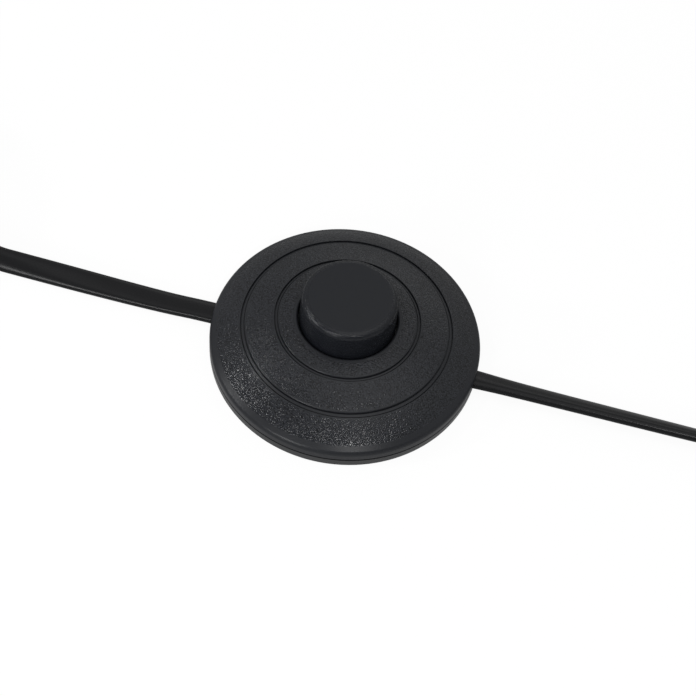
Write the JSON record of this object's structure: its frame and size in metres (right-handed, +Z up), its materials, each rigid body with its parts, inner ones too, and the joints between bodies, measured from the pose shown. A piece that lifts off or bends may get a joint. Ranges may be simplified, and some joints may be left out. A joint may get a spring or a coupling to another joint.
{
  "type": "lamp foot switch",
  "caption": "round black in-line foot switch for a floor lamp: low domed housing with ring grooves, a round push button in the middle and a flat cord to a plug on one side",
  "frame": {"origin": "on the floor under the middle of the round housing", "axes": "+Z up through the button, -X along the cord to the plug, +X along the cord to the lamp"},
  "size_m": [0.4349, 0.0702, 0.0231],
  "materials": {
    "cover_plastic": "fine moulded grain",
    "base_plastic": "smooth moulded",
    "button_plastic": "satin moulded",
    "acetal": "natural",
    "spring_steel": "drawn wire",
    "contact_brass": "stamped",
    "plated_steel": "zinc plated",
    "brown_insulation": "smooth",
    "blue_insulation": "smooth",
    "copper": "stranded",
    "cord_pvc": "satin extruded",
    "lead_insulation": "smooth",
    "tie_strip": "matt strip",
    "plug_pvc": "satin moulded",
    "pin_plating": "nickel plated",
    "foot_rubber": "matt"
  },
  "bodies": {
    "housing": {"top_cover": "cover_plastic", "base_plate": "base_plastic", "plug_side_clamp": "base_plastic", "lamp_side_clamp": "base_plastic", "return_spring": "spring_steel", "line_contact": "contact_brass", "load_contact": "contact_brass", "line_terminal_screw": "plated_steel", "load_terminal_screw": "plated_steel", "clamp_screws": "plated_steel", "cover_screws": "plated_steel", "line_core": "brown_insulation", "load_core": "brown_insulation", "neutral_core": "blue_insulation", "line_copper_end": "copper", "load_copper_end": "copper", "lead_tips": "copper", "plug_cord": "cord_pvc", "lamp_cord": "cord_pvc", "plug_cord_coil": "cord_pvc", "lamp_cord_coil": "cord_pvc", "plug_cord_tail": "cord_pvc", "lamp_cord_tail": "cord_pvc", "lamp_leads": "lead_insulation", "plug_coil_tie": "tie_strip", "lamp_coil_tie": "tie_strip", "plug_body": "plug_pvc", "plug_pins": "pin_plating", "rubber_foot_1": "foot_rubber", "rubber_foot_2": "foot_rubber", "rubber_foot_3": "foot_rubber", "rubber_foot_4": "foot_rubber"},
    "button": {"push_button": "button_plastic"},
    "rotor": {"ratchet_rotor": "acetal", "contact_bridge": "contact_brass"}
  },
  "joints": [
    {"name": "button_press", "type": "slide", "parent": "housing", "child": "button", "axis": [0, 0, -1], "range_m": [0, 0.004], "stiffness_N_per_m": 1500, "springref_m": -0.003, "deforming": ["return_spring"]},
    {"name": "rotor_turn", "type": "hinge", "parent": "housing", "child": "rotor", "pos_m": [0, 0, 0.0036], "axis": [0, 0, 1], "range_deg": [0, 45]}
  ],
  "couplings": [
    {"joint": "rotor_turn", "follows": "button_press", "rad_per_m": 196.34}
  ]
}
